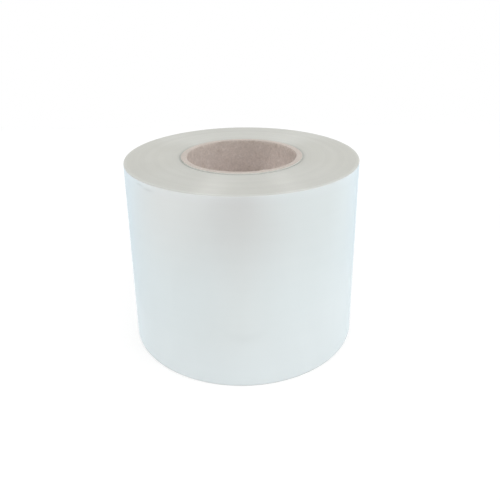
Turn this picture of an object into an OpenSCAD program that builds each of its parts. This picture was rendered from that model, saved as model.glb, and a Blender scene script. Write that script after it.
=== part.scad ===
// A roll of clear sealing film wound on a paperboard core.
// The roll stands on one end: +Z runs up its axis, and the origin is the
// centre of the lower end. All sizes are millimetres and degrees.

/* [Core] */
// Inside diameter of the core, a three-inch tube
core_bore_d = 76.2; // [50:0.1:90]
// Thickness of the core's wall, all its glued plies together
core_wall = 4; // [2:0.5:6]
// Bevel that the tube cutter leaves on the bore's two mouths
core_bevel = 0.4; // [0.1:0.1:0.8]

/* [Roll] */
// Width over all the turns, which is also the length that the core is cut to
roll_width = 130; // [60:1:300]
// Outside diameter of the wound film, over its free end
roll_d = 162; // [125:1:240]
// How far the free end stands off the turn under it, film and slack together
free_end_step = 0.3; // [0.1:0.05:0.8]
// Where the free end's cut edge lies, counted from +X towards +Y
free_end_angle = 115; // [0:5:355]
// Rounding of the roll's outer edges, where the last turns sit a little slack
outer_edge_round = 0.5; // [0.2:0.1:1]

/* [Turns] */
// Width of the ring of first turns that sit lower than the rest at each end
first_turns_width = 1.6; // [0.8:0.2:3]
// How far those first turns are sunk below the end faces
first_turns_depth = 0.6; // [0.4:0.1:1.5]
// Thickness of each group of turns that wound in line with one another
turn_group = 4; // [2:0.5:8]
// How far the groups wander along the roll, which shows as steps on its ends
turn_wander = 0.2; // [0.1:0.05:0.3]
// Thickness of the last turns, which the roll stands on
last_turns_width = 5; // [3:0.5:8]

/* [Hidden] */
$fn = 120;

core_colour = [0.66, 0.61, 0.57];
film_colour = [0.86, 0.90, 0.90];

core_bore_r = core_bore_d / 2;
core_outer_r = core_bore_r + core_wall;
film_width = roll_width - turn_wander;
// Radius of the roll just past the free end, one step lower
under_end_r = roll_d / 2 - free_end_step;
// The outer turn climbs the step over half a turn, as an arc about a second centre
climb_centre = free_end_step / 2;
climb_r = under_end_r + climb_centre;

first_turns_r = core_outer_r + first_turns_width;
last_turns_r = under_end_r - last_turns_width;
// The groups of turns share the thickness between the first turns and the last
group_count = max(1, round((last_turns_r - first_turns_r) / turn_group));
group_step = (last_turns_r - first_turns_r) / group_count;
// The groups stand at five levels, taken in leaps so that neighbours differ
levels = 5;
level_leap = 3;
// How far the two parts of the last turns run into one another
lap = 1;

function group_start(i) = first_turns_r + i * group_step;
function group_shift(i) = turn_wander * (i * level_leap % levels) / (levels - 1);

// One group's two corners at a height above its own lower edge
function group_edge(i, height) = [
    [group_start(i), group_shift(i) + height],
    [group_start(i + 1), group_shift(i) + height]
];
function reversed(points) = [for (i = [len(points) - 1 : -1 : 0]) points[i]];

// Section of the core, with its bore's mouths bevelled
module core_section() {
    polygon([
        [core_bore_r + core_bevel, 0],
        [core_outer_r, 0],
        [core_outer_r, roll_width],
        [core_bore_r + core_bevel, roll_width],
        [core_bore_r, roll_width - core_bevel],
        [core_bore_r, core_bevel]
    ]);
}

// Section of the turns from the core out into the last turns: the sunk first
// turns, then the groups, each as wide as the film and shifted along the roll
module turns_section() {
    inside_last_r = under_end_r - lap;
    lower_edge = [for (i = [0 : group_count - 1]) each group_edge(i, 0)];
    upper_edge = [for (i = [0 : group_count - 1]) each group_edge(i, film_width)];
    polygon(concat(
        [[core_outer_r, first_turns_depth], [first_turns_r, first_turns_depth]],
        lower_edge,
        [[last_turns_r, 0], [inside_last_r, 0]],
        [[inside_last_r, film_width], [last_turns_r, film_width]],
        reversed(upper_edge),
        [[first_turns_r, roll_width - first_turns_depth], [core_outer_r, roll_width - first_turns_depth]]
    ));
}

// Section of the last turns, with the two outer edges rounded
module last_turns_section(outer_r) {
    inner_r = under_end_r - 2 * lap;
    flat_r = outer_r - outer_edge_round;
    translate([inner_r, 0])
        square([flat_r - inner_r, film_width]);
    translate([inner_r, outer_edge_round])
        square([outer_r - inner_r, film_width - 2 * outer_edge_round]);
    for (height = [outer_edge_round, film_width - outer_edge_round])
        translate([flat_r, height])
            circle(outer_edge_round);
}

// Half of the last turns, from the +X side round to the -X side
module half_of_last_turns(outer_r) {
    rotate_extrude(angle = 180)
        last_turns_section(outer_r);
}

// The last turns: a half circle, then an arc that climbs until the free end's
// cut edge stands one step above the place where the turn began
module last_turns() {
    half_of_last_turns(under_end_r);
    translate([climb_centre, 0, 0])
        rotate([0, 0, 180])
            half_of_last_turns(climb_r);
}

// Spirally wound paperboard tube, one glued piece
module core() {
    color(core_colour)
        rotate_extrude()
            core_section();
}

// All the turns of the film, from the core out to the free end
module film_roll() {
    color(film_colour) {
        rotate_extrude()
            turns_section();
        rotate([0, 0, free_end_angle])
            last_turns();
    }
}

core();
film_roll();
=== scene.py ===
# %% [markdown]
# A roll of clear sealing film stands on one end. It has two parts: a paperboard
# tube, and some hundreds of turns of film wound tight on it. The packed model
# gives their true shapes and places, so it is loaded first and everything else
# is fitted to it. Nothing from the packed model is moved.

import math
import random

import bpy
import numpy as np
from mathutils import Matrix, Vector


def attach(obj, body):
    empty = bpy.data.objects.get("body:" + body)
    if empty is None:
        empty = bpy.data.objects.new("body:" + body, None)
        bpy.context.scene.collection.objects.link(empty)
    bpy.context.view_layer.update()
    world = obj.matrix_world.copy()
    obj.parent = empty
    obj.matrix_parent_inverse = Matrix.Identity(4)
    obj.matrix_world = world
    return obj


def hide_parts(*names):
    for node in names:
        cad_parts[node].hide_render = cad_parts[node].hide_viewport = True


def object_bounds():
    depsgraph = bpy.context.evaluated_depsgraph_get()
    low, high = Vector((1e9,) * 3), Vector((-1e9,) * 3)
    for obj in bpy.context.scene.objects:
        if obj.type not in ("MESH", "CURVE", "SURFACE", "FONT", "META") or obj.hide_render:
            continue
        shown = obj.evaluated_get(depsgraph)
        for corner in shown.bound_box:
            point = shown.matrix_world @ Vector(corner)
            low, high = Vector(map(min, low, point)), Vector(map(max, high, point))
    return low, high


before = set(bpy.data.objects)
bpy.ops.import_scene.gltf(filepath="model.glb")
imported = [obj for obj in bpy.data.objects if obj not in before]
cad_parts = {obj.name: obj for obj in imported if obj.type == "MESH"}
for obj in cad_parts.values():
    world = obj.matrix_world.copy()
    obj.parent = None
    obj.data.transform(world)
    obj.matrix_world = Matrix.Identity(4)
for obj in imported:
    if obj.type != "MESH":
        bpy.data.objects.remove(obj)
bpy.context.view_layer.update()
cad_low, cad_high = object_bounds()
print("CAD box in mm:", [round(1000 * side, 2) for side in cad_high - cad_low])

# %% [markdown]
# The sizes could be typed in again, but then a change in the model would leave
# this scene behind. So they are read off the loaded meshes. On a turned part
# every corner is a distance from the axis and a height, and a short sorted list
# of those pairs describes its section.

# %% Read the core's sizes
MM = 0.001


def section_corners(node):
    """The corners of a turned node's section, as (radius, height) in metres."""
    corners = set()
    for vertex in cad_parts[node].data.vertices:
        radius = math.hypot(vertex.co.x, vertex.co.y)
        corners.add((round(radius, 5), round(vertex.co.z, 5)))
    return sorted(corners)


def in_mm(*lengths):
    return [round(length / MM, 2) for length in lengths]


core_corners = section_corners("core")
bore_r, core_bevel = core_corners[0]
core_r = core_corners[-1][0]
core_length = cad_high.z
print("bore radius, core radius, bevel and length in mm:", in_mm(bore_r, core_r, core_bevel, core_length))

# %% [markdown]
# The film's end faces are not one plane. Groups of turns wandered a little as
# they wound, so each group stands a hair higher or lower than the next. A ring
# of an end face is a pair of neighbouring radii that share a height. Very narrow
# rings belong to the rounded outer edge and are left out.

# %% Read the film's steps
NARROWEST_STEP = 1 * MM


def end_steps(corners, upper):
    """Each ring of an end face from the core out, as (inner radius, height)."""
    heights = {}
    for radius, height in corners:
        if (height > core_length / 2) == upper:
            heights.setdefault(radius, set()).add(height)
    radii = sorted(heights)
    steps = []
    for inner, outer in zip(radii, radii[1:]):
        shared = heights[inner] & heights[outer]
        if shared and outer - inner > NARROWEST_STEP:
            steps.append((inner, shared.pop()))
    return steps


film_corners = section_corners("film_roll")
top_steps = end_steps(film_corners, upper=True)
base_steps = end_steps(film_corners, upper=False)
first_turns_r = top_steps[1][0]
last_turns_r, film_top = top_steps[-1]
print("steps on the top in mm:", [in_mm(*step) for step in top_steps])
print("steps underneath in mm:", [in_mm(*step) for step in base_steps])

# %% [markdown]
# The outer turn isn't quite a circle. It climbs by a small step over its last
# half, up to the free end's cut edge. The vertex farthest from the axis lies on
# that edge, so it gives the angle and the largest radius.

# %% Read the free end
roll_r, edge_height = film_corners[-1]
edge_round = film_top - edge_height
under_end_r = min(r for r, z in film_corners if z == edge_height and r > last_turns_r)
farthest = max(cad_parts["film_roll"].data.vertices, key=lambda v: math.hypot(v.co.x, v.co.y))
free_end_angle = math.atan2(farthest.co.y, farthest.co.x)


def outer_r(turn):
    """Radius of the last turn at an angle past the free end, from 0 to a full circle."""
    if turn <= math.pi:
        return under_end_r
    centre = (roll_r - under_end_r) / 2
    climb_r = under_end_r + centre
    return centre * math.cos(turn) + math.sqrt(climb_r**2 - (centre * math.sin(turn)) ** 2)


print("roll radius and radius under the free end in mm:", in_mm(roll_r, under_end_r))
print("free end at", round(math.degrees(free_end_angle), 1), "degrees")
print("outer edge rounded by mm:", in_mm(edge_round))

# %% [markdown]
# The camera repeats the photograph's view: a little above the roll, looking down
# on its top. The object sits above the middle of the picture. Tilting the camera
# further would make the sides converge more, so the rest is done by shifting the
# lens, as on a view camera.

# %% The camera
CAMERA_PLACE = Vector((0, -357, 235.7)) * MM
AIM = Vector((5.6, 0, 107.2)) * MM
CAMERA_ROLL = math.radians(-0.55)
SENSOR_MM = 36
LENS_MM = 38.36
LENS_SHIFT = -0.13

camera = bpy.data.objects.new("camera", bpy.data.cameras.new("camera"))
bpy.context.scene.collection.objects.link(camera)
turn_to_aim = (AIM - CAMERA_PLACE).to_track_quat("-Z", "Y").to_matrix().to_4x4()
camera.matrix_world = Matrix.Translation(CAMERA_PLACE) @ turn_to_aim @ Matrix.Rotation(CAMERA_ROLL, 4, "Z")
camera.data.sensor_width = SENSOR_MM
camera.data.lens = LENS_MM
camera.data.shift_y = LENS_SHIFT
bpy.context.scene.camera = camera
bpy.context.scene.view_settings.view_transform = "Standard"
print("camera is", round((CAMERA_PLACE - AIM).length, 3), "m from what it looks at")

# %% [markdown]
# A finish is a small network of nodes. Written out one call at a time it is hard
# to follow, so this helper adds a node, feeds its inputs and hands back its
# output. An input may be a number, a colour or another node's output.

# %% A helper that wires nodes
class Wiring:
    """Adds nodes to one material or world, so that a finish reads as a recipe."""

    def __init__(self, owner):
        owner.use_nodes = True
        self.tree = owner.node_tree

    def add(self, kind, inputs, **settings):
        """A new node of a kind, with its settings made and its inputs fed."""
        node = self.tree.nodes.new(kind)
        for name, value in settings.items():
            setattr(node, name, value)
        for name, value in inputs.items():
            self.feed(node.inputs[name], value)
        return node

    def feed(self, socket, value):
        """Joins another node's output to a socket, or else sets the socket's own value."""
        if isinstance(value, bpy.types.NodeSocket):
            self.tree.links.new(value, socket)
        else:
            socket.default_value = value

    def math(self, operation, first, second=0.0):
        """A number worked out from one or two others."""
        return self.add("ShaderNodeMath", {0: first, 1: second}, operation=operation).outputs[0]

    def rescale(self, value, low, high, to_low=0.0, to_high=1.0):
        """A number taken smoothly from one range to another, and held at its ends."""
        node = self.add(
            "ShaderNodeMapRange",
            {0: value, 1: low, 2: high, 3: to_low, 4: to_high},
            interpolation_type="SMOOTHSTEP",
        )
        return node.outputs[0]

    def mix(self, share, first, second):
        """First colour at share 0, second at 1."""
        node = self.add("ShaderNodeMix", {0: share, 6: first, 7: second}, data_type="RGBA")
        return node.outputs[2]

    def tint(self, colour, amount):
        """A colour made lighter or darker, by a number round 1."""
        settings = {"data_type": "RGBA", "blend_type": "MULTIPLY"}
        return self.add("ShaderNodeMix", {0: 1.0, 6: colour, 7: amount}, **settings).outputs[2]


print("the wiring helper has", [name for name in vars(Wiring) if not name.startswith("_")])

# %% [markdown]
# Colours are easiest to judge as a screen shows them, from 0 to 255. A shader
# works with amounts of light instead, and the two aren't in proportion: half of
# the light looks like 188, not 128. This helper turns one into the other.

# %% A helper for colours
def colour_of(red, green, blue):
    """A colour as it looks on a screen, from 0 to 255, turned into what the shader wants."""

    def linear(level):
        share = level / 255
        return share / 12.92 if share <= 0.04045 else ((share + 0.055) / 1.055) ** 2.4

    return (linear(red), linear(green), linear(blue), 1.0)


print("188 on a screen is", round(colour_of(188, 188, 188)[0], 3), "of full light")

# %% [markdown]
# A product photo has a white ground. Turning the lamps up until the floor burns
# out would wash the roll out too. So the floor and the world are white only for
# rays that come straight from the camera, or by way of a glossy or clear
# surface. Rays that carry light meet a greyer world, which fills the shadows.

# %% The world
WORLD_FILL = 0.54


def seen_as_background(wiring):
    """1 for rays that should meet a white background, 0 for rays that carry light."""
    path = wiring.add("ShaderNodeLightPath", {}).outputs
    either = wiring.math("MAXIMUM", path["Is Camera Ray"], path["Is Glossy Ray"])
    return wiring.math("MAXIMUM", either, path["Is Transmission Ray"])


world = bpy.data.worlds.new("studio")
bpy.context.scene.world = world
room = Wiring(world)
backdrop = room.tree.nodes["Background"]
backdrop.inputs["Color"].default_value = (1, 1, 1, 1)
room.feed(backdrop.inputs["Strength"], room.rescale(seen_as_background(room), 0, 1, WORLD_FILL, 1))
print("the world gives", WORLD_FILL, "of white light and shows white")

# %% [markdown]
# The floor does the same, and it also has to keep the roll's soft shadow. So the
# floor that the camera sees is a sum: a steady glow, and a share of its own
# shading that brings it up to white where nothing stands in the light.

# %% The floor
FLOOR_REACH = 0.62
FLOOR_PALE = (0.82, 0.82, 0.82, 1)
SHADOW_SHARE = (0.42, 0.42, 0.42, 1)
FLOOR_GLOW = 0.64

floor_paint = bpy.data.materials.new("pale_floor")
ground = Wiring(floor_paint)
lit = ground.add("ShaderNodeBsdfDiffuse", {"Color": FLOOR_PALE}).outputs[0]
shaded = ground.add("ShaderNodeBsdfDiffuse", {"Color": SHADOW_SHARE}).outputs[0]
glow = ground.add("ShaderNodeEmission", {"Color": (1, 1, 1, 1), "Strength": FLOOR_GLOW}).outputs[0]
white = ground.add("ShaderNodeAddShader", {0: shaded, 1: glow}).outputs[0]
either_floor = ground.add("ShaderNodeMixShader", {0: seen_as_background(ground), 1: lit, 2: white})
ground.feed(ground.tree.nodes["Material Output"].inputs["Surface"], either_floor.outputs[0])


def square_sheet(name, reach, height, finish):
    """A level square about the axis, which belongs to the stage and not to the roll."""
    mesh = bpy.data.meshes.new(name)
    corners = [(x * reach, y * reach, height) for x, y in ((-1, -1), (1, -1), (1, 1), (-1, 1))]
    mesh.from_pydata(corners, [], [(0, 1, 2, 3)])
    mesh.materials.append(finish)
    sheet = bpy.data.objects.new(name, mesh)
    bpy.context.scene.collection.objects.link(sheet)
    return sheet


square_sheet("floor", FLOOR_REACH, 0, floor_paint)
print("floor is", 2 * FLOOR_REACH, "m across, on z = 0")

# %% [markdown]
# Four large softboxes stand round the roll and above it. Large lamps give the
# soft shading of the photograph, where neither side of the roll has a hard edge
# of light. The right one is the strongest and the side ones are cool, which
# leaves the flanks faintly blue. A glossy roll would also mirror each box as a
# hard white patch, which the photograph doesn't show, so the boxes light it
# without being mirrored.

# %% The softboxes
def softbox(name, place, size, radiance, tint):
    """A square lamp that faces the middle of the roll."""
    lamp = bpy.data.lights.new(name, "AREA")
    lamp.shape = "SQUARE"
    lamp.size = size
    lamp.energy = radiance * math.pi * size * size
    lamp.color = tint
    body = bpy.data.objects.new(name, lamp)
    middle = Vector((0, 0, core_length / 2))
    body.location = place
    body.rotation_euler = (middle - Vector(place)).to_track_quat("-Z", "Y").to_euler()
    body.visible_camera = False
    bpy.context.scene.collection.objects.link(body)
    return body


softboxes = [
    softbox("left_softbox", (-1.05, -0.8, 0.38), 1.0, 2.0, (0.97, 0.99, 1.0)),
    softbox("right_softbox", (1.1, -0.55, 0.32), 1.0, 2.7, (0.95, 0.985, 1.0)),
    softbox("top_softbox", (0.0, -0.3, 1.25), 0.8, 1.4, (1.0, 0.99, 0.97)),
    softbox("back_softbox", (0.0, 1.1, 0.6), 1.0, 1.2, (0.98, 0.995, 1.0)),
]
for box in softboxes:
    box.visible_glossy = False
print("softboxes:", [box.name for box in softboxes])

# %% [markdown]
# The top of the roll shows two faint pale fans that open from the core towards
# the rim. Cut film edges shine along the radius alone, as a record's grooves do,
# and a small bright lamp behind the roll makes one such fan. Two small lamps do
# that here. They reach glossy rays only, so the roll gets the fans from them and
# no second set of shadows.

# %% The two small lamps
SPARK_SIZE = 0.12
left_spark = softbox("left_spark", (-0.165, 0.9, 1.0), SPARK_SIZE, 65, (1, 1, 1))
right_spark = softbox("right_spark", (0.25, 0.88, 1.0), SPARK_SIZE, 62, (1, 1, 1))
for spark in (left_spark, right_spark):
    spark.visible_diffuse = False

# %% [markdown]
# Film is glossy, so the roll mirrors what lies round it, and seen from above it
# mirrors the table. A modelled room would take many guesses, so one sheet with
# the right tones stands in for it. Each tone depends only on a place on the
# table. Near the roll that is the table's own tone: bright at the roll's foot, a
# little further out on the right, and a shade warmer straight in front. The
# flanks mirror the table behind, in cooler light.

# %% The mirrored table
MIRRORED_TABLE = colour_of(224, 238, 243)
TABLE_IN_FRONT = colour_of(222, 231, 233)
TABLE_AT_FOOT = colour_of(233, 245, 251)
MIRRORED_BLUE = colour_of(224, 241, 251)
BEHIND_FROM, BEHIND_TO = -0.15, 0.2
STAND_X = -0.01
FRONT_HALF_WIDTH = 0.1
FOOT_FROM, FOOT_TO = 0.085, 0.14
FOOT_LEAN = 0.3


def place_in(wiring):
    """Where a point lies in metres, as a vector and as its x, y and z."""
    whole = wiring.add("ShaderNodeTexCoord", {}).outputs["Object"]
    return whole, wiring.add("ShaderNodeSeparateXYZ", {0: whole}).outputs


def distance(wiring, first, second):
    """How far two numbers lie apart."""
    return wiring.math("ABSOLUTE", wiring.math("SUBTRACT", first, second))


mirrored = bpy.data.materials.new("mirrored_tones")
tones = Wiring(mirrored)
place, axes = place_in(tones)
away = tones.add("ShaderNodeVectorMath", {0: place}, operation="LENGTH").outputs["Value"]
behind = tones.rescale(axes[1], BEHIND_FROM, BEHIND_TO)
beside_stand = distance(tones, axes[0], STAND_X)
in_front = tones.rescale(beside_stand, 0, FRONT_HALF_WIDTH, 1, 0)
wider_foot = tones.math("MULTIPLY", tones.math("MAXIMUM", axes[0], 0.0), FOOT_LEAN)
at_foot = tones.rescale(tones.math("SUBTRACT", away, wider_foot), FOOT_FROM, FOOT_TO, 1, 0)
table_tone = tones.mix(in_front, MIRRORED_TABLE, TABLE_IN_FRONT)
table_tone = tones.mix(behind, table_tone, MIRRORED_BLUE)
table_tone = tones.mix(at_foot, table_tone, TABLE_AT_FOOT)
print("mirrored_tones:", len(tones.tree.nodes), "nodes for the table")

# %% [markdown]
# In the photograph a wide, soft, darker band runs down from the middle of the
# rim and fades half way down. The upper part of the side mirrors places further
# away than the lower part, so this is the room in front of the table. It is
# darkest where the camera stands, and a little darker on the right than on the
# left.

# %% The mirrored room
ROOM_ON_LEFT = colour_of(223, 222, 220)
ROOM_ON_RIGHT = colour_of(208, 218, 220)
MIRRORED_STAND = colour_of(160, 147, 142)
ROOM_FROM, ROOM_TO = 0.16, 0.36
ROOM_HALF_WIDTH = 0.28
STAND_HALF_WIDTH = 0.3

ahead = tones.math("SUBTRACT", 1.0, behind)
in_room = tones.math("MULTIPLY", tones.rescale(away, ROOM_FROM, ROOM_TO), ahead)
to_right = tones.rescale(axes[0], -ROOM_HALF_WIDTH, ROOM_HALF_WIDTH)
near_stand = tones.rescale(beside_stand, 0, STAND_HALF_WIDTH, 1, 0)
room_tone = tones.mix(to_right, ROOM_ON_LEFT, ROOM_ON_RIGHT)
room_tone = tones.mix(near_stand, room_tone, MIRRORED_STAND)
tone = tones.mix(in_room, table_tone, room_tone)
glow = tones.add("ShaderNodeEmission", {"Color": tone, "Strength": 1.0}).outputs[0]
tones.feed(tones.tree.nodes["Material Output"].inputs["Surface"], glow)
print("mirrored_tones:", len(tones.tree.nodes), "nodes")

# %% [markdown]
# The sheet is one square, a hair above the floor. Blender can hide an object
# from each kind of ray. Only glossy rays meet this one, so it lights nothing,
# throws no shadow and never shows itself.

# %% The mirrored sheet
SHEET_REACH = 1.2
SHEET_HEIGHT = 0.2 * MM

sheet = square_sheet("mirrored_sheet", SHEET_REACH, SHEET_HEIGHT, mirrored)
for ray in ("camera", "diffuse", "transmission", "volume_scatter", "shadow"):
    setattr(sheet, "visible_" + ray, False)
print("mirrored sheet is", 2 * SHEET_REACH, "m across")

# %% [markdown]
# Real materials are never one flat tone. Blender's noise node gives a soft random
# number for each place in space, or for each value of one number, such as a
# height or a radius. A finish is made a little lighter where it is high and a
# little darker where it is low.

# %% Helpers for uneven tones
LOW, HIGH = 0.3, 0.7


def noise(wiring, scale, detail, vector):
    """Noise from 0 to 1 over a place in space."""
    return wiring.add("ShaderNodeTexNoise", {"Scale": scale, "Detail": detail, "Vector": vector}).outputs[0]


def noise_along(wiring, scale, detail, number):
    """Noise from 0 to 1 along one number."""
    inputs = {"Scale": scale, "Detail": detail, "W": number}
    return wiring.add("ShaderNodeTexNoise", inputs, noise_dimensions="1D").outputs[0]


def vary(wiring, colour, uneven, share):
    """A colour made up to a share lighter or darker, where the noise is high or low."""
    return wiring.tint(colour, wiring.rescale(uneven, LOW, HIGH, 1 - share, 1 + share))


print("noise counts as low up to", LOW, "and as high from", HIGH)

# %% [markdown]
# The side of the roll. One turn of this film is as clear as glass, but hundreds
# of turns scatter light between them, so the roll looks like milk glass under a
# polished skin. Real transparency would need every turn as its own sheet. A
# pale body with a little light spreading under the surface, and a clear coat on
# top, gives the same look at once. The body's tones come first: faint rings
# where the film is a touch thicker, faint patches where air lies between the
# turns, painted light in a paler band under the rim, painted shade at the foot,
# and painted shade in the creases and the crescent, which is read from the mesh.

# %% The film's side, its tones
FILM_MILK = colour_of(217, 221, 220)
FILM_RIM_PAINTED_LIGHT = colour_of(219, 223, 223)
CREASE_SHADE_GREY = colour_of(150, 156, 156)
RIM_LIGHT_DEPTH = 7 * MM
FOOT_SHADE = 2.5 * MM
PATCH_STRETCH = (1, 1, 0.35)

film_side = bpy.data.materials.new("film_side")
side = Wiring(film_side)
place, axes = place_in(side)
stretched = side.add("ShaderNodeVectorMath", {0: place, 1: PATCH_STRETCH}, operation="MULTIPLY").outputs[0]
patches = noise(side, 28, 3, stretched)
rings = noise_along(side, 160, 3, axes[2])
# Painted light: a paler band of the film just under the rim.
rim_painted_light = side.rescale(axes[2], film_top - RIM_LIGHT_DEPTH, film_top)
# Painted shade: the film is a little darker in its last few millimetres above the floor.
foot_painted_shade = side.rescale(axes[2], 0, FOOT_SHADE, 0.985, 1)
milk = side.mix(rim_painted_light, FILM_MILK, FILM_RIM_PAINTED_LIGHT)
milk = vary(side, milk, patches, 0.015)
milk = vary(side, milk, rings, 0.003)
milk = side.tint(milk, foot_painted_shade)
# Painted shade in the creases and the crescent, read from the mesh.
crease = side.add("ShaderNodeAttribute", {}, attribute_name="crease").outputs["Fac"]
milk = side.mix(crease, milk, CREASE_SHADE_GREY)
print("film_side:", len(side.tree.nodes), "nodes for its tones")

# %% [markdown]
# Each turn of clear film adds its own faint reflection, so a stack of them
# mirrors more than one surface does. The coat's refraction index is therefore
# set well above any plastic's. The turns aren't perfectly flat either, so the
# coat is a little rough, which blurs the mirrored table, and a very slight bump
# makes it waver.

# %% The film's side, its shine
PLASTIC_IOR = 1.5
STACK_IOR = 3.2


def bump(wiring, relief, strength, depth):
    """A normal that leans with a relief, without changing the mesh."""
    inputs = {"Height": relief, "Strength": strength, "Distance": depth}
    return wiring.add("ShaderNodeBump", inputs).outputs[0]


def finish_with(wiring, settings):
    """Feeds the material's own shader, from socket names and values."""
    sockets = wiring.tree.nodes["Principled BSDF"].inputs
    for name, value in settings.items():
        wiring.feed(sockets[name], value)


uneven = side.math("ADD", side.math("MULTIPLY", rings, 0.12), patches)
waves = bump(side, uneven, 0.1, 0.3 * MM)
finish_with(
    side,
    {
        "Base Color": milk,
        "Normal": waves,
        "Roughness": 0.3,
        "IOR": PLASTIC_IOR,
        "Subsurface Weight": 0.25,
        "Subsurface Radius": (6 * MM, 6.5 * MM, 6.5 * MM),
        "Subsurface Scale": 1.0,
        "Coat Normal": waves,
        "Coat Weight": 1.0,
        "Coat Roughness": 0.2,
        "Coat IOR": STACK_IOR,
    },
)
print("film_side:", len(side.tree.nodes), "nodes")

# %% [markdown]
# The end faces show the cut edges of all the turns, packed like the pages of a
# book. The tone changes a little from turn to turn, which is noise along the
# radius alone. Three noises of different fineness give single turns, groups of
# them and broad bands. A soft cloud over the whole face keeps the rings from
# looking machined.

# %% The film's end faces, from turn to turn
EDGE_GREY = colour_of(204, 204, 198)


def from_axis(wiring, place):
    """The way out from the axis as a level vector, and its length, which is the radius."""
    flat = wiring.add("ShaderNodeVectorMath", {0: place, 1: (1, 1, 0)}, operation="MULTIPLY").outputs[0]
    return flat, wiring.add("ShaderNodeVectorMath", {0: flat}, operation="LENGTH").outputs["Value"]


film_ends = bpy.data.materials.new("film_ends")
ends = Wiring(film_ends)
place, axes = place_in(ends)
flat, radius = from_axis(ends, place)
fine_turns = noise_along(ends, 9000, 2, radius)
turn_groups = noise_along(ends, 900, 3, radius)
broad_turns = noise_along(ends, 120, 2, radius)
cloud = noise(ends, 35, 3, place)
grey = vary(ends, EDGE_GREY, broad_turns, 0.015)
grey = vary(ends, grey, turn_groups, 0.008)
grey = vary(ends, grey, fine_turns, 0.03)
grey = vary(ends, grey, cloud, 0.015)
print("film_ends:", len(ends.tree.nodes), "nodes for the turns")

# %% [markdown]
# Some places differ in the photograph, and here they are painted into the
# colour. The sunk first turns by the core get painted shade, and the last turns
# by the rim get painted light, but the rounded edge itself does not. The far
# side gets painted light, and the two flanks get painted shade. Radius and
# direction are both read from the place on the face.

# %% The film's end faces, from place to place
SUNK_RING_SHADE = colour_of(182, 183, 178)
END_RIM_PAINTED_LIGHT = colour_of(214, 215, 210)
EDGE_ROUND = colour_of(203, 204, 200)
FLANK_PAINTED_SHADE = (0.92, 0.915, 0.9, 1)
FLANK_FROM = 0.7
FAR_SIDE = 70 * MM
FAR_SIDE_PAINTED_LIGHT = 1.06
RING_SHADE = 0.3
RING_REACH = 2 * MM

# Painted shade in the sunk ring of first turns by the core, and a softer band of it just outside.
sunk_ring_shade_share = ends.rescale(radius, first_turns_r - 0.3 * MM, first_turns_r - 0.05 * MM, 1, 0)
grey = ends.mix(sunk_ring_shade_share, grey, SUNK_RING_SHADE)
outer_ring_shade_share = ends.rescale(radius, first_turns_r, first_turns_r + RING_REACH, RING_SHADE, 0)
grey = ends.mix(outer_ring_shade_share, grey, SUNK_RING_SHADE)
# Painted light on the last turns by the rim.
rim_light_share = ends.rescale(radius, under_end_r - 3 * MM, under_end_r - 0.6 * MM)
grey = ends.mix(rim_light_share, grey, END_RIM_PAINTED_LIGHT)
on_round = ends.rescale(radius, under_end_r - 0.5 * MM, under_end_r - 0.2 * MM)
grey = ends.mix(on_round, grey, EDGE_ROUND)
# Painted light: the far side of the end face is made lighter.
grey = ends.tint(grey, ends.rescale(axes[1], -FAR_SIDE, FAR_SIDE, 1, FAR_SIDE_PAINTED_LIGHT))
# Painted shade on the two flanks of the end face.
outwards = ends.add("ShaderNodeVectorMath", {0: flat}, operation="NORMALIZE").outputs[0]
sideways = ends.math("ABSOLUTE", ends.add("ShaderNodeSeparateXYZ", {0: outwards}).outputs[0])
flank_shade_share = ends.rescale(sideways, FLANK_FROM, 1)
grey = ends.tint(grey, ends.mix(flank_shade_share, (1, 1, 1, 1), FLANK_PAINTED_SHADE))
print("film_ends:", len(ends.tree.nodes), "nodes for their tones")

# %% [markdown]
# Cut edges catch light the way the grooves of a record do: each highlight is
# drawn out along the radius, so it fans out from the core. That is what the
# shader's anisotropy is for, with its tangent set to point away from the axis.

# %% The film's end faces, their shine
edges = ends.math("ADD", fine_turns, turn_groups)
grooves = bump(ends, edges, 0.12, 0.03 * MM)
finish_with(
    ends,
    {
        "Base Color": grey,
        "Normal": grooves,
        "Tangent": outwards,
        "Roughness": 0.3,
        "Anisotropic": 0.9,
        "IOR": PLASTIC_IOR,
        "Specular IOR Level": 0.06,
        "Subsurface Weight": 0.15,
        "Subsurface Radius": (4 * MM, 4 * MM, 3.5 * MM),
        "Subsurface Scale": 1.0,
    },
)
print("film_ends:", len(ends.tree.nodes), "nodes")

# %% [markdown]
# A turned part is a section swept round an axis. Blender has a screw modifier
# for that, but here the section changes round the roll: the last turn climbs,
# and creases dent it. So each row of the mesh is worked out point by point, and
# one helper joins the rows into four-sided faces.

# %% A helper that skins rows of points
SHARP_EDGE = math.radians(40)


def skin_rows(name, rows, finish_of_row, finishes):
    """A closed mesh from rows of points, joined round each row and from the last row to the first."""
    points = np.array(rows)
    row_count, column_count = points.shape[:2]
    faces = []
    for row in range(row_count):
        following = (row + 1) % row_count
        for column in range(column_count):
            beside = (column + 1) % column_count
            faces.append(
                (
                    row * column_count + column,
                    row * column_count + beside,
                    following * column_count + beside,
                    following * column_count + column,
                )
            )
    mesh = bpy.data.meshes.new(name)
    mesh.from_pydata(points.reshape(-1, 3).tolist(), [], faces)
    for finish in finishes:
        mesh.materials.append(finish)
    mesh.polygons.foreach_set("material_index", np.repeat(finish_of_row, column_count))
    mesh.polygons.foreach_set("use_smooth", np.ones(len(faces), bool))
    mesh.set_sharp_from_angle(angle=SHARP_EDGE)
    mesh.update()
    piece = bpy.data.objects.new(name, mesh)
    bpy.context.scene.collection.objects.link(piece)
    print(name, "has", len(faces), "faces")
    return piece


print("edges of more than", round(math.degrees(SHARP_EDGE)), "degrees stay sharp")

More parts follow.
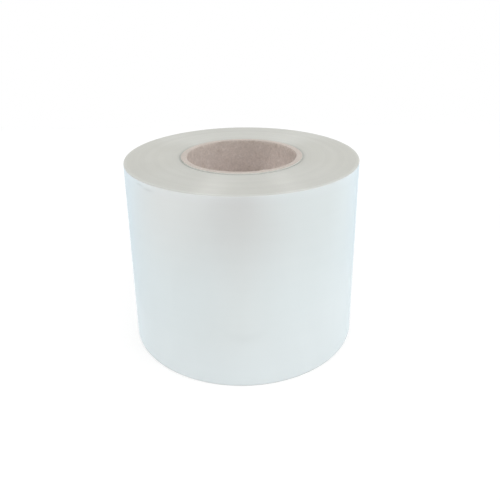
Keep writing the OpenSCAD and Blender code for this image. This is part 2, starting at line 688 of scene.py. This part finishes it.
# %% [markdown]
# Small marks on the last turns are in the photograph: two short creases under
# the rim on the left, and a faint crescent low on the front where something
# pressed on the roll. Each is a shallow dent, worked out from how far a point
# lies from the middle of the mark. The crescent is a soft spot whose middle line
# is bent into a bowl.

# %% Dents in the last turns
FRONT = math.radians(-90)
# Each crease: how far right of the middle, height, half width, half height, depth
CREASES = [
    (-72 * MM, 127 * MM, 3.5 * MM, 0.7 * MM, 0.06 * MM),
    (-63 * MM, 125.8 * MM, 4.5 * MM, 0.8 * MM, 0.054 * MM),
]
CRESCENT_HEIGHT = 36 * MM
CRESCENT_HALF_WIDTH = 11 * MM
CRESCENT_HALF_HEIGHT = 3.2 * MM
CRESCENT_DEPTH = 0.012 * MM
BOWL = 45 * MM


def within_half_circle(angles):
    """The same angles, counted from minus half a circle to half a circle."""
    return (angles + math.pi) % (2 * math.pi) - math.pi


def soft_spot(across, up, half_width, half_height):
    """1 at the middle of a spot, fading to 0 past its half width and height."""
    return np.exp(-((across / half_width) ** 2) - (up / half_height) ** 2)


def dents(angles, heights):
    """Depth in metres of all the marks, at angles and heights on the outer surface."""
    across = roll_r * within_half_circle(angles - FRONT)
    from_bowl = heights - CRESCENT_HEIGHT - across**2 / BOWL
    depth = CRESCENT_DEPTH * soft_spot(across, from_bowl, CRESCENT_HALF_WIDTH, CRESCENT_HALF_HEIGHT)
    for to_right, height, half_width, half_height, deepest in CREASES:
        depth = depth + deepest * soft_spot(across - to_right, heights - height, half_width, half_height)
    return depth


print("depth in the crescent's middle in mm:", round(dents(FRONT, CRESCENT_HEIGHT) / MM, 4))

# %% [markdown]
# The last turn is never quite tight. Before its cut edge it lifts in low
# blisters with air under them, and the dips between them die out further round
# the roll. The photograph doesn't show that side, so this is a guess, and it
# stays under a tenth of a millimetre.

# %% Slack before the cut edge
SLACK_DEPTH = 0.07 * MM
SLACK_REACH = 38 * MM


def slack(turns, heights):
    """Depth in metres of the dips between the last turn's blisters, which die out before the cut edge."""
    before_edge = roll_r * (2 * math.pi - turns)
    blisters = np.sin(before_edge / (5.5 * MM) + 1.8 * np.sin(heights / (23 * MM)))
    uneven = 0.7 + 0.3 * np.sin(heights / (9 * MM) + before_edge / (14 * MM))
    blisters = (0.5 + 0.5 * blisters) * uneven
    return SLACK_DEPTH * blisters * np.exp(-before_edge / SLACK_REACH)


print("slack half way up at the cut edge in mm:", in_mm(slack(2 * math.pi, core_length / 2)))

# %% [markdown]
# The film's section is built from the core outwards along the base, up the side
# and back in along the top. A row of the mesh has one point for each column
# round the roll. The columns start just past the free end, so its step falls
# between the last column and the first. The skin stays a fiftieth of a
# millimetre inside the packed model's.

# %% Rows round the film
COLUMNS = 300
CUT_EDGE_TURN = math.radians(0.04)
SKIN_INSET = 0.02 * MM

turns_past_end = np.linspace(0, 2 * math.pi - CUT_EDGE_TURN, COLUMNS)
angles = turns_past_end + free_end_angle
rim = np.array([outer_r(turn) for turn in turns_past_end]) - SKIN_INSET


def row_of(radii, heights):
    """One row of the mesh, from a radius and a height for each column."""
    radii = np.broadcast_to(radii, COLUMNS)
    heights = np.broadcast_to(heights, COLUMNS)
    return np.stack([radii * np.cos(angles), radii * np.sin(angles), heights], axis=1)


def fitted(radius):
    """A radius in the last turns, moved to follow the climb of the outermost one."""
    if radius <= last_turns_r:
        return radius
    return last_turns_r + (radius - last_turns_r) * (rim - last_turns_r) / (under_end_r - last_turns_r)


print("a row of the film has", COLUMNS, "points")

# %% [markdown]
# Within each group of turns the end face gets finer ridges, a hundredth of a
# millimetre deep, so that it glints like real cut edges. The packed model has a
# sharp step from group to group. Turns of film wander more gently than that, so
# each step becomes a riser of a millimetre or two. Ridges only dip inwards from
# the packed faces, so the mesh never grows past them.

# %% The end faces as rows
RING_PITCH = 0.75 * MM
RIDGE_DEPTH = 0.01 * MM
RISER_WIDTH = 1.6 * MM

winding = random.Random(11)


def end_rows(steps, inwards):
    """Rows of an end face from the core out. Inwards is -1 on the top and +1 underneath."""
    rows = []
    bounds = [radius for radius, height in steps] + [under_end_r - edge_round]
    for (start, height), stop in zip(steps, bounds[1:]):
        count = max(2, round((stop - start) / RING_PITCH))
        margin = RISER_WIDTH / 2
        for radius in np.linspace(start + margin, stop - margin, count):
            dip = RIDGE_DEPTH * winding.random()
            rows.append(row_of(fitted(radius), height + inwards * dip))
    rows[0] = row_of(core_r, steps[0][1])
    return rows


base_rows = end_rows(base_steps, +1)
top_rows = end_rows(top_steps, -1)[::-1]
print("rows on the base and on the top:", len(base_rows), len(top_rows))

# %% [markdown]
# The outer edges are rounded, where the last turns sit a little slack. The wall
# between them carries the dents and the blisters.

# %% The rounded edges and the wall as rows
ROUND_POINTS = 4
WALL_ROWS = 110


def rounded_rows(height, upwards):
    """Rows of a rounded outer edge, from the end face to the wall. Upwards is +1 on the top."""
    rows = []
    for step in range(ROUND_POINTS + 1):
        swing = math.pi / 2 * step / ROUND_POINTS
        out = edge_round * (math.sin(swing) - 1)
        along = edge_round * (math.cos(swing) - 1)
        rows.append(row_of(rim + out, height + upwards * along))
    return rows


def wall_rows():
    """Rows of the outer wall from the base up, with the marks pressed into it."""
    rows = []
    for height in np.linspace(edge_round, edge_height, WALL_ROWS)[1:-1]:
        rows.append(row_of(rim - dents(angles, height) - slack(turns_past_end, height), height))
    return rows


base_edge = rounded_rows(0, -1)
wall = wall_rows()
top_edge = rounded_rows(film_top, +1)[::-1]
print("rows on an edge and on the wall:", len(top_edge), len(wall))

# %% [markdown]
# All the rows in order make the film's section. Cut edges show on the end faces
# and round the outer edges, and the polished side lies between. The one solid of
# the packed model stands for all the turns, and this mesh takes its place.

# %% The wound film
section = base_rows + base_edge + wall + top_edge + top_rows
SIDE_FINISH, END_FINISH = 0, 1
finish_of_row = (
    [END_FINISH] * (len(base_rows) + len(base_edge) - 1)
    + [SIDE_FINISH] * (len(wall) + 1)
    + [END_FINISH] * (len(top_edge) + len(top_rows))
)

wound_film = skin_rows("wound_film", section, finish_of_row, [film_side, film_ends])
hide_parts("film_roll")
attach(wound_film, "root")

# %% [markdown]
# The finish reads the painted shade of the marks from an attribute of the mesh,
# a number kept at each vertex. It runs from 0 on a clean surface to 0.28 in the
# deepest crease.

# %% Store the marks' painted shade on the mesh
DARKEST_CREASE_SHADE = 0.28

points = np.empty(3 * len(wound_film.data.vertices))
wound_film.data.vertices.foreach_get("co", points)
points = points.reshape(-1, 3)
around = np.arctan2(points[:, 1], points[:, 0])
on_wall = np.hypot(points[:, 0], points[:, 1]) > under_end_r - edge_round
marks = dents(around, points[:, 2]) * on_wall
crease_data = wound_film.data.attributes.new("crease", "FLOAT", "POINT")
crease_data.data.foreach_set("value", (DARKEST_CREASE_SHADE * marks / marks.max()).astype(np.float32))
print("deepest mark in mm:", in_mm(marks.max()))

# %% [markdown]
# The core is a spirally wound tube of brown-grey paperboard. Its bore shows the
# raw board: fibres, lighter and darker flecks, and soft blotches. A picture of
# board would repeat and would have to be wrapped round the tube. Noise in space
# has no seams and fits any shape.

# %% The bore's board
BOARD_BROWN = colour_of(214, 201, 191)
BOARD_LIGHT = colour_of(223, 211, 202)
BOARD_DARK = colour_of(201, 187, 176)

bore_board = bpy.data.materials.new("bore_board")
board = Wiring(bore_board)
place, axes = place_in(board)
fibres = noise(board, 700, 4, place)
flecks = noise(board, 260, 5, place)
blotches = noise(board, 60, 3, place)
brown = board.mix(board.rescale(flecks, 0.52, 0.75), BOARD_BROWN, BOARD_LIGHT)
brown = board.mix(board.rescale(flecks, 0.45, 0.25), brown, BOARD_DARK)
brown = vary(board, brown, fibres, 0.07)
brown = vary(board, brown, blotches, 0.04)
print("bore_board:", len(board.tree.nodes), "nodes for the board")

# %% [markdown]
# The edges of the inner strip meet in a helix, a narrow seam that climbs as it
# goes round. An angle times the climb of one round gives the seam's height, and
# what is left over after whole rounds is the distance from it. The photograph
# shows too little of the bore to measure the climb, so it is a guess.

# %% The bore's seam
SEAM_LEAD = 110 * MM
SEAM_AT_BACK = 55 * MM
SEAM_FLOOR, SEAM_EDGE = 0.15 * MM, 0.5 * MM
SEAM_SHADE = 0.45

angle = board.math("ARCTAN2", axes[1], axes[0])
climb = board.math("MULTIPLY", angle, SEAM_LEAD / (2 * math.pi))
from_seam = board.math("SUBTRACT", board.math("SUBTRACT", axes[2], climb), SEAM_AT_BACK - SEAM_LEAD / 4)
within_lead = board.math("PINGPONG", from_seam, SEAM_LEAD / 2)
in_seam = board.rescale(within_lead, SEAM_FLOOR, SEAM_EDGE, 1, 0)
brown = board.mix(board.math("MULTIPLY", in_seam, SEAM_SHADE), brown, BOARD_DARK)
print("the seam climbs", in_mm(SEAM_LEAD), "mm in one round")

# %% [markdown]
# In the photograph the bore keeps its tone a long way down, and is a shade
# lighter on its two sides. Light fades faster in this simple scene, so light and
# shade are painted into the board: it is painted darker at the mouth, and a
# little paler deeper down and on the sides.

# %% The bore's painted light and shade with depth
MOUTH_PAINTED_SHADE = (0.81, 0.81, 0.82, 1)
DEEP_PAINTED_LIGHT = (1.15, 1.18, 1.24, 1)
MOUTH_REACH = 30 * MM
PAST_MOUTH = 2 * MM
SIDES_FROM, SIDES_TO = 8 * MM, 34 * MM
SIDES_PAINTED_LIGHT = 1.12

# Painted shade near the mouth and painted light deeper down.
from_middle = distance(board, axes[2], core_length / 2)
to_mouth = board.rescale(from_middle, core_length / 2 - MOUTH_REACH, core_length / 2 + PAST_MOUTH)
brown = board.tint(brown, board.mix(to_mouth, DEEP_PAINTED_LIGHT, MOUTH_PAINTED_SHADE))
# Painted light on the bore's two sides.
sideways = board.math("ABSOLUTE", axes[0])
brown = board.tint(brown, board.rescale(sideways, SIDES_FROM, SIDES_TO, 1, SIDES_PAINTED_LIGHT))
print("bore_board:", len(board.tree.nodes), "nodes for its tones")

# %% [markdown]
# Kraft board has almost no shine, so its character comes from a rough, felted
# surface. The seam is a groove, so it is taken off the height of the fibres.

# %% The bore's surface
RAW_BOARD = {"Roughness": 0.9, "Specular IOR Level": 0.25}

relief = board.math("SUBTRACT", board.math("ADD", fibres, flecks), in_seam)
felt = bump(board, relief, 0.5, 0.12 * MM)
finish_with(board, {"Base Color": brown, "Normal": felt, **RAW_BOARD})
print("bore_board:", len(board.tree.nodes), "nodes")

# %% [markdown]
# The tube was cut to length, and the cut shows the board in section: paler than
# the bore, with the glued plies as faint rings, strayed and roughened by fibres
# that the blade pulled up. The tube's outer wall shows above the sunk first
# turns as a thin line, painted paler to make up for the shade of the sunk ring:
# painted light.

# %% The cut rim's finish
RIM_CREAM = colour_of(208, 198, 190)
RIM_GLUE = colour_of(194, 182, 172)
WALL_PAINTED_LIGHT = colour_of(228, 228, 222)
PLY = 0.5 * MM
PLY_STRAY = 0.3 * MM
GLUE_FLOOR, GLUE_EDGE = 0.02 * MM, 0.09 * MM
GLUE_SHADE = 0.55

cut_board = bpy.data.materials.new("cut_board")
cut = Wiring(cut_board)
place = place_in(cut)[0]
radius = from_axis(cut, place)[1]
fuzz = noise(cut, 900, 4, place)
worn = noise(cut, 120, 3, place)
strayed = cut.math("ADD", radius, cut.math("MULTIPLY", worn, PLY_STRAY))
to_glue = cut.math("PINGPONG", strayed, PLY / 2)
glue = cut.rescale(to_glue, GLUE_FLOOR, GLUE_EDGE, 1, 0)
cream = cut.mix(cut.math("MULTIPLY", glue, GLUE_SHADE), RIM_CREAM, RIM_GLUE)
cream = vary(cut, cream, fuzz, 0.06)
cream = vary(cut, cream, worn, 0.03)
# Painted light on the tube's outer wall, against the shade of the sunk ring.
on_wall = cut.rescale(radius, core_r - 0.06 * MM, core_r - 0.01 * MM)
cream = cut.mix(on_wall, cream, WALL_PAINTED_LIGHT)
relief = cut.math("SUBTRACT", fuzz, glue)
nap = bump(cut, relief, 0.5, 0.1 * MM)
finish_with(cut, {"Base Color": cream, "Normal": nap, **RAW_BOARD})
print("cut_board:", len(cut.tree.nodes), "nodes")

# %% [markdown]
# A blade doesn't cut board quite clean. Fibres stick out over the bore as a fine
# fringe, and the photograph shows a few larger tears: a flap in front, a little
# to the right, and three frays at the back left. The fringe is a reach inwards
# for each column of the core's mesh.

# %% Torn fibres round the bore
CORE_COLUMNS = 400
FINE_FIBRES = 160
LONGEST_FINE = 0.14
# Each tear on the top: degrees round the rim, then half width and reach in mm
TOP_TEARS = [(-68, 1.3, 1.1), (-71, 0.8, 0.7), (112, 0.5, 0.7), (116, 0.4, 0.9), (121, 0.5, 0.6)]

sawing = random.Random(5)
core_angles = np.linspace(0, 2 * math.pi, CORE_COLUMNS, endpoint=False)


def fibre(angle, length, half_width):
    """How far one tuft of fibres reaches in at each column. Sizes are in radians and metres."""
    apart = within_half_circle(core_angles - angle)
    return length * np.exp(-((bore_r * apart / half_width) ** 2))


def torn_fibres(tears):
    """How far torn fibres reach into the bore at each column, the named tears and the fine ones."""
    reach = np.zeros(CORE_COLUMNS)
    for degrees, half_width, length in tears:
        reach += fibre(math.radians(degrees), length * MM, half_width * MM)
    for _ in range(FINE_FIBRES):
        reach += fibre(
            sawing.uniform(0, 2 * math.pi),
            sawing.uniform(0, LONGEST_FINE) * MM,
            sawing.uniform(0.5, 1.2) * MM,
        )
    return reach


print("the top rim has", len(TOP_TEARS), "tears and", FINE_FIBRES, "fine fibres")

# %% [markdown]
# The core's mesh follows the packed tube: up the bore, over the bevel, across
# the cut rim ply by ply, and down the hidden outside. Each ply was cut by the
# same blade but stands a few hundredths of a millimetre off the next.

# %% The core as rows
BORE_ROWS = 60
PLY_STEP = 0.06 * MM
AFTER_GLUE = 0.06 * MM
BEFORE_GLUE = 0.04 * MM


def core_row(radius, height):
    """One row of the core's mesh, a circle of points."""
    radius = np.broadcast_to(radius, CORE_COLUMNS)
    flat_row = [radius * np.cos(core_angles), radius * np.sin(core_angles)]
    return np.stack([*flat_row, np.full(CORE_COLUMNS, height)], axis=1)


def rim_rows(height, inwards, tears):
    """Rows of the cut rim from the bevel out, two for each ply."""
    fringe = torn_fibres(tears)
    rows = [core_row(bore_r + core_bevel - fringe, height)]
    count = round((core_r - bore_r - core_bevel) / PLY)
    width = (core_r - bore_r - core_bevel) / count
    for ply in range(count):
        start = bore_r + core_bevel + ply * width
        dip = inwards * PLY_STEP * sawing.random()
        rows.append(core_row(start + AFTER_GLUE, height + dip))
        rows.append(core_row(start + width - BEFORE_GLUE, height + dip))
    rows.append(core_row(core_r, height))
    return rows


bore_rows = [core_row(bore_r, z) for z in np.linspace(core_bevel, core_length - core_bevel, BORE_ROWS)]
top_rim = rim_rows(core_length, -1, TOP_TEARS)
base_rim = rim_rows(0, +1, [])[::-1]
print("rows up the bore and on a rim:", len(bore_rows), len(top_rim))

# %% [markdown]
# The tube cutter leaves a small bevel at each mouth of the bore. In the photograph
# it is as brown as the bore, so it gets the bore's finish, and the paler cut
# board starts outside it.

# %% The core
CUT_FINISH, BORE_FINISH = 0, 1
core_finishes = (
    [BORE_FINISH] * len(bore_rows)
    + [CUT_FINISH] * (len(top_rim) + len(base_rim) - 1)
    + [BORE_FINISH]
)
core_tube = skin_rows("core_tube", bore_rows + top_rim + base_rim, core_finishes, [cut_board, bore_board])
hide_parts("core")
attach(core_tube, "root")

# %% [markdown]
# The visual model has to stay inside the packed model's box.
